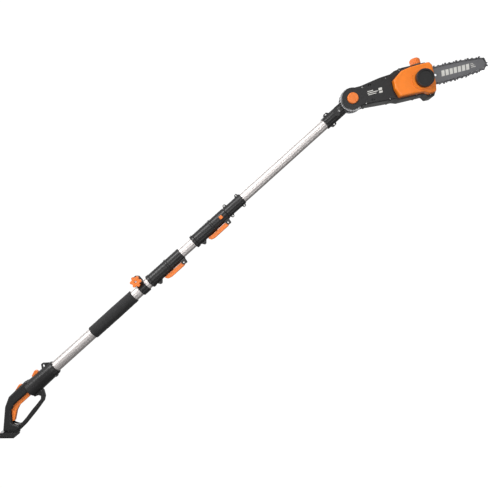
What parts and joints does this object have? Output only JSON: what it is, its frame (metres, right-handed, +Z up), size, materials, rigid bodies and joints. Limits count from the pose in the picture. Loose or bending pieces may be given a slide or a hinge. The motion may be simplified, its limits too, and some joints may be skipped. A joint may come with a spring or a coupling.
{
  "type": "telescoping pole saw",
  "caption": "Cordless telescoping pole saw: D-handle, foam-gripped tubes with flip-lever couplings, tilting motor head, guide bar and chain.",
  "frame": {"origin": "on the pole's axis at the mouth of the rear handle", "axes": "+X along the pole towards the saw head, +Z up, away from the trigger; the sprocket cover faces -Y"},
  "size_m": [2.0419, 0.114, 0.2703],
  "materials": {
    "black_plastic": "fine-textured black moulding",
    "orange_plastic": "satin orange moulding",
    "cover_orange": "glossy orange moulding",
    "aluminium_tube": "drawn and anodised",
    "detent_aluminium": "machined",
    "foam": "closed-cell foam",
    "bar_steel": "ground and printed grey",
    "chain_steel": "oiled chain",
    "zinc_steel": "zinc plated",
    "gear_steel": "cut and hardened",
    "cast_plate": "die cast",
    "brass_contact": "bright",
    "tank_plastic": "natural moulded",
    "board": "soldered board",
    "nylon": "natural nylon",
    "magnet": "ferrite"
  },
  "bodies": {
    "handle": {"handle_shell_left": "black_plastic", "handle_shell_right": "black_plastic", "handle_screws": "zinc_steel", "trigger_pin": "zinc_steel", "trigger_spring": "zinc_steel", "switch_block": "nylon", "battery_shoe": "black_plastic", "battery_contacts": "brass_contact", "lower_tube": "aluminium_tube", "foam_grip": "foam", "strap_clamp_band": "black_plastic", "strap_clamp_bolt": "zinc_steel", "coupling_collar_1": "black_plastic", "lever_pin_1": "zinc_steel"},
    "trigger": {"trigger": "orange_plastic"},
    "rear_lock_button": {"rear_lock_button": "orange_plastic"},
    "front_lock_button": {"front_lock_button": "orange_plastic"},
    "star_knob": {"star_knob": "orange_plastic"},
    "flip_lever_1": {"flip_lever_1": "orange_plastic"},
    "middle_pole": {"middle_tube": "aluminium_tube", "tube_bush": "nylon", "coupling_collar_2": "black_plastic", "lever_pin_2": "zinc_steel"},
    "flip_lever_2": {"flip_lever_2": "orange_plastic"},
    "release_button": {"release_button": "orange_plastic"},
    "upper_pole": {"upper_tube": "aluminium_tube", "sleeve_left": "black_plastic", "sleeve_right": "black_plastic", "upper_pole_screws": "zinc_steel", "pivot_arm_left": "black_plastic", "pivot_arm_right": "black_plastic", "detent_discs": "detent_aluminium", "pivot_bolt": "zinc_steel"},
    "head": {"motor_housing_left": "black_plastic", "motor_housing_right": "black_plastic", "housing_screws": "zinc_steel", "pivot_spring": "zinc_steel", "gear_plate": "cast_plate", "drive_bearings": "zinc_steel", "motor_can": "zinc_steel", "motor_magnets": "magnet", "control_board": "board", "oil_tank": "tank_plastic", "oil_pump": "nylon", "bar_stud": "zinc_steel", "sprocket_cover": "cover_orange"},
    "pivot_button": {"pivot_button": "orange_plastic"},
    "motor_rotor": {"motor_rotor": "gear_steel", "motor_pinion": "gear_steel"},
    "drive_train": {"drive_gear": "gear_steel", "drive_shaft": "gear_steel", "drive_sprocket": "gear_steel"},
    "tension_knob": {"tension_knob": "black_plastic"},
    "guide_bar": {"guide_bar": "bar_steel", "chain_drive_links": "chain_steel", "chain_tie_straps": "chain_steel", "chain_cutters": "chain_steel", "chain_rivets": "chain_steel"},
    "nose_sprocket": {"nose_sprocket": "gear_steel"},
    "oil_cap": {"oil_cap": "orange_plastic"}
  },
  "joints": [
    {"name": "trigger_pull", "type": "hinge", "parent": "handle", "child": "trigger", "pos_m": [-0.229, 0, -0.03], "axis": [0, -1, 0], "range_deg": [0, 5.5], "stiffness_Nm_per_rad": 12},
    {"name": "rear_lock_press", "type": "slide", "parent": "handle", "child": "rear_lock_button", "axis": [0, 0, -1], "range_m": [0, 0.002], "stiffness_N_per_m": 600},
    {"name": "front_lock_press", "type": "slide", "parent": "handle", "child": "front_lock_button", "axis": [0, 0, -1], "range_m": [0, 0.002], "stiffness_N_per_m": 600},
    {"name": "star_knob_turn", "type": "hinge", "parent": "handle", "child": "star_knob", "pos_m": [0.396, -0.03, 0.029], "axis": [0, -1, 0], "continuous": true},
    {"name": "flip_lever_1_open", "type": "hinge", "parent": "handle", "child": "flip_lever_1", "pos_m": [0.556, 0, -0.0285], "axis": [0, -1, 0], "range_deg": [0, 100]},
    {"name": "pole_telescope", "type": "slide", "parent": "handle", "child": "middle_pole", "axis": [1, 0, 0], "range_m": [-0.045, 0.33]},
    {"name": "flip_lever_2_open", "type": "hinge", "parent": "middle_pole", "child": "flip_lever_2", "pos_m": [0.756, 0, -0.0285], "axis": [0, -1, 0], "range_deg": [0, 100]},
    {"name": "release_press", "type": "slide", "parent": "middle_pole", "child": "release_button", "axis": [0, 1, 0], "range_m": [0, 0.003], "stiffness_N_per_m": 600},
    {"name": "pole_detach", "type": "slide", "parent": "middle_pole", "child": "upper_pole", "axis": [1, 0, 0], "range_m": [0, 0.12]},
    {"name": "head_tilt", "type": "hinge", "parent": "upper_pole", "child": "head", "pos_m": [1.338, 0, 0], "axis": [0, 1, 0], "range_deg": [-27.5, 47.5]},
    {"name": "pivot_button_press", "type": "slide", "parent": "head", "child": "pivot_button", "axis": [0, 1, 0], "range_m": [0, 0.004], "stiffness_N_per_m": 900},
    {"name": "drive_spin", "type": "hinge", "parent": "head", "child": "drive_train", "pos_m": [1.50128, -0.014, -0.08049], "axis": [0, -1, 0], "continuous": true},
    {"name": "rotor_spin", "type": "hinge", "parent": "head", "child": "motor_rotor", "pos_m": [1.45871, -0.014, -0.05833], "axis": [0, -1, 0], "continuous": true},
    {"name": "tension_knob_turn", "type": "hinge", "parent": "head", "child": "tension_knob", "pos_m": [1.54911, -0.06, -0.1099], "axis": [0, -1, 0], "range_deg": [-90, 90]},
    {"name": "bar_tension", "type": "slide", "parent": "head", "child": "guide_bar", "axis": [0.887, 0, -0.4617], "range_m": [-0.001, 0.001]},
    {"name": "nose_sprocket_spin", "type": "hinge", "parent": "guide_bar", "child": "nose_sprocket", "pos_m": [1.72762, -0.032, -0.19831], "axis": [0, -1, 0], "continuous": true},
    {"name": "oil_cap_turn", "type": "hinge", "parent": "head", "child": "oil_cap", "pos_m": [1.58365, 0, -0.04896], "axis": [0.4617, 0, 0.887], "range_deg": [0, 360]}
  ],
  "couplings": [
    {"joint": "rotor_spin", "follows": "drive_spin", "ratio": -5},
    {"joint": "tension_knob_turn", "follows": "bar_tension", "rad_per_m": 1570.8}
  ]
}
